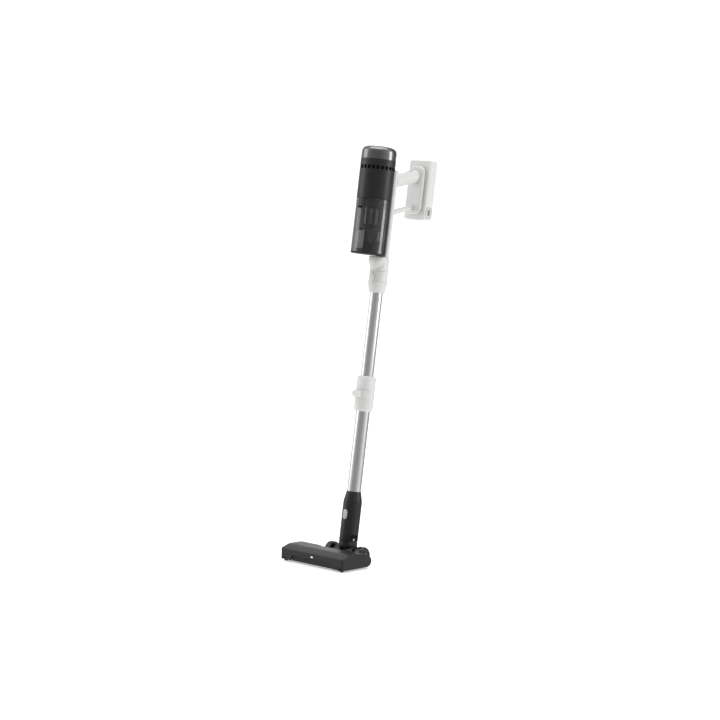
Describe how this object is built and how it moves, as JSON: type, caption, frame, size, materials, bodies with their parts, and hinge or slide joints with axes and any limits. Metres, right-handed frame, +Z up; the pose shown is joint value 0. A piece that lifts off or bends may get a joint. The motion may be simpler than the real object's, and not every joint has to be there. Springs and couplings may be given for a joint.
{
  "type": "cordless stick vacuum",
  "caption": "Cordless stick vacuum: motorised brush head on a pitch and swivel neck, telescoping wand, clear dust bin under a fan unit, tube handle and sliding battery",
  "frame": {"origin": "centre of the bounding box footprint, on the floor", "axes": "+Z up from the floor, -Y towards the front of the floor head, +X to the right across the head seen from the front"},
  "size_m": [0.227, 0.4134, 1.0846],
  "materials": {
    "dark_plastic": "fine-textured dark grey moulding",
    "black_plastic": "glossy black",
    "white_plastic": "satin warm white moulding",
    "light_grey_plastic": "satin light grey",
    "smoky_clear": "clear smoky moulding",
    "tube_metal": "satin anodised tube",
    "gunmetal": "dark metallic satin",
    "steel": "bright steel",
    "motor_metal": "cast motor can",
    "rubber": "soft black rubber",
    "tyre_rubber": "glossy black tread",
    "felt": "felt",
    "bristle": "dense nylon bristle",
    "lens": "clear lens",
    "paper": "pleated filter paper",
    "cell_wrap": "shrink-wrapped cells"
  },
  "bodies": {
    "main_body": {"collar": "white_plastic", "spine_duct": "white_plastic", "grip_tube": "white_plastic", "strut": "white_plastic", "cradle": "white_plastic", "motor_housing": "dark_plastic", "fan_motor": "motor_metal", "fan_bracket": "rubber", "exhaust_foam": "felt", "pre_filter": "paper"},
    "impeller": {"impeller": "gunmetal"},
    "cap": {"cap": "gunmetal"},
    "bin": {"bin_shell": "smoky_clear", "bin_back": "dark_plastic", "bin_base": "dark_plastic", "bin_seal": "rubber", "shroud_mesh": "gunmetal", "cyclone_cone": "black_plastic", "inlet_flap": "light_grey_plastic"},
    "bin_tab": {"bin_tab": "dark_plastic"},
    "wand_button": {"wand_button": "white_plastic"},
    "power_button": {"power_button": "light_grey_plastic"},
    "battery": {"battery_shell": "white_plastic", "battery_lid": "white_plastic", "cell_pack": "cell_wrap", "charge_socket": "black_plastic"},
    "battery_release_left": {"battery_release_left": "white_plastic"},
    "battery_release_right": {"battery_release_right": "white_plastic"},
    "upper_wand": {"upper_tube": "tube_metal"},
    "lower_wand": {"lower_tube": "tube_metal", "clamp_sleeve": "white_plastic", "clamp_bushing": "light_grey_plastic"},
    "clamp_slider": {"clamp_slider": "white_plastic"},
    "neck": {"neck_shell": "dark_plastic"},
    "neck_button": {"neck_button": "light_grey_plastic"},
    "yoke": {"pitch_yoke": "dark_plastic"},
    "head": {"head_housing": "dark_plastic", "neck_bay": "black_plastic", "head_base": "dark_plastic", "end_cap_left": "dark_plastic", "end_cap_right": "dark_plastic", "front_strip": "rubber", "lamp_lens": "lens", "brush_bearing": "steel", "head_motor": "motor_metal", "drive_belt": "rubber", "suction_duct": "rubber", "axle_left": "steel", "axle_right": "steel", "glide_pad_left": "felt", "glide_pad_right": "felt"},
    "brush": {"brush_core": "dark_plastic", "bristle_strip_a": "bristle", "bristle_strip_b": "bristle", "brush_pulley": "black_plastic"},
    "brush_drive": {"motor_pulley": "black_plastic"},
    "wheel_left": {"wheel_left": "tyre_rubber"},
    "wheel_right": {"wheel_right": "tyre_rubber"},
    "front_roller_left": {"front_roller_left": "rubber"},
    "front_roller_right": {"front_roller_right": "rubber"}
  },
  "joints": [
    {"name": "impeller_spin", "type": "hinge", "parent": "main_body", "child": "impeller", "pos_m": [0, 0.00977, 0.98928], "axis": [0, 0.1392, 0.9903], "continuous": true},
    {"name": "cap_lift", "type": "slide", "parent": "main_body", "child": "cap", "axis": [0, 0.1392, 0.9903], "range_m": [0, 0.06]},
    {"name": "bin_release", "type": "slide", "parent": "main_body", "child": "bin", "axis": [0, -0.9903, 0.1392], "range_m": [0, 0.11]},
    {"name": "bin_tab_press", "type": "slide", "parent": "bin", "child": "bin_tab", "axis": [0, -0.1392, -0.9903], "range_m": [0, 0.004], "stiffness_N_per_m": 400},
    {"name": "wand_button_press", "type": "slide", "parent": "main_body", "child": "wand_button", "axis": [0, 0.9903, -0.1392], "range_m": [0, 0.0019], "stiffness_N_per_m": 400},
    {"name": "power_button_press", "type": "slide", "parent": "main_body", "child": "power_button", "axis": [0, 0.1334, -0.9911], "range_m": [0, 0.0011], "stiffness_N_per_m": 600},
    {"name": "battery_slide", "type": "slide", "parent": "main_body", "child": "battery", "axis": [0, -0.1392, -0.9903], "range_m": [0, 0.12]},
    {"name": "battery_release_left_press", "type": "slide", "parent": "battery", "child": "battery_release_left", "axis": [1, 0, 0], "range_m": [0, 0.0014], "stiffness_N_per_m": 400},
    {"name": "battery_release_right_press", "type": "slide", "parent": "battery", "child": "battery_release_right", "axis": [-1, 0, 0], "range_m": [0, 0.0014], "stiffness_N_per_m": 400},
    {"name": "wand_pull", "type": "slide", "parent": "main_body", "child": "upper_wand", "axis": [0, -0.1392, -0.9903], "range_m": [0, 0.05]},
    {"name": "telescope", "type": "slide", "parent": "upper_wand", "child": "lower_wand", "axis": [0, 0.1392, 0.9903], "range_m": [0, 0.19]},
    {"name": "clamp_slider_press", "type": "slide", "parent": "lower_wand", "child": "clamp_slider", "axis": [0, -0.1392, -0.9903], "range_m": [0, 0.006], "stiffness_N_per_m": 400},
    {"name": "neck_pull", "type": "slide", "parent": "lower_wand", "child": "neck", "axis": [0, -0.1392, -0.9903], "range_m": [0, 0.04]},
    {"name": "neck_button_press", "type": "slide", "parent": "neck", "child": "neck_button", "axis": [0, 0.9903, -0.1392], "range_m": [0, 0.0019], "stiffness_N_per_m": 400},
    {"name": "neck_swivel", "type": "hinge", "parent": "neck", "child": "yoke", "pos_m": [0, -0.07671, 0.0219], "axis": [0, 0.1392, 0.9903], "range_deg": [-80, 80]},
    {"name": "head_pitch", "type": "hinge", "parent": "yoke", "child": "head", "pos_m": [0, -0.07671, 0.0219], "axis": [1, 0, 0], "range_deg": [-8, 68]},
    {"name": "brush_motor_spin", "type": "hinge", "parent": "head", "child": "brush_drive", "pos_m": [0, -0.13871, 0.02], "axis": [1, 0, 0], "continuous": true},
    {"name": "brush_spin", "type": "hinge", "parent": "head", "child": "brush", "pos_m": [0, -0.18271, 0.0192], "axis": [1, 0, 0], "continuous": true},
    {"name": "wheel_left_spin", "type": "hinge", "parent": "head", "child": "wheel_left", "pos_m": [-0.055, -0.07671, 0.0219], "axis": [1, 0, 0], "continuous": true},
    {"name": "wheel_right_spin", "type": "hinge", "parent": "head", "child": "wheel_right", "pos_m": [0.055, -0.07671, 0.0219], "axis": [1, 0, 0], "continuous": true},
    {"name": "front_roller_left_spin", "type": "hinge", "parent": "head", "child": "front_roller_left", "pos_m": [-0.102, -0.19911, 0.005], "axis": [1, 0, 0], "continuous": true},
    {"name": "front_roller_right_spin", "type": "hinge", "parent": "head", "child": "front_roller_right", "pos_m": [0.102, -0.19911, 0.005], "axis": [1, 0, 0], "continuous": true}
  ],
  "couplings": [
    {"joint": "brush_motor_spin", "follows": "brush_spin", "ratio": 1.5}
  ]
}
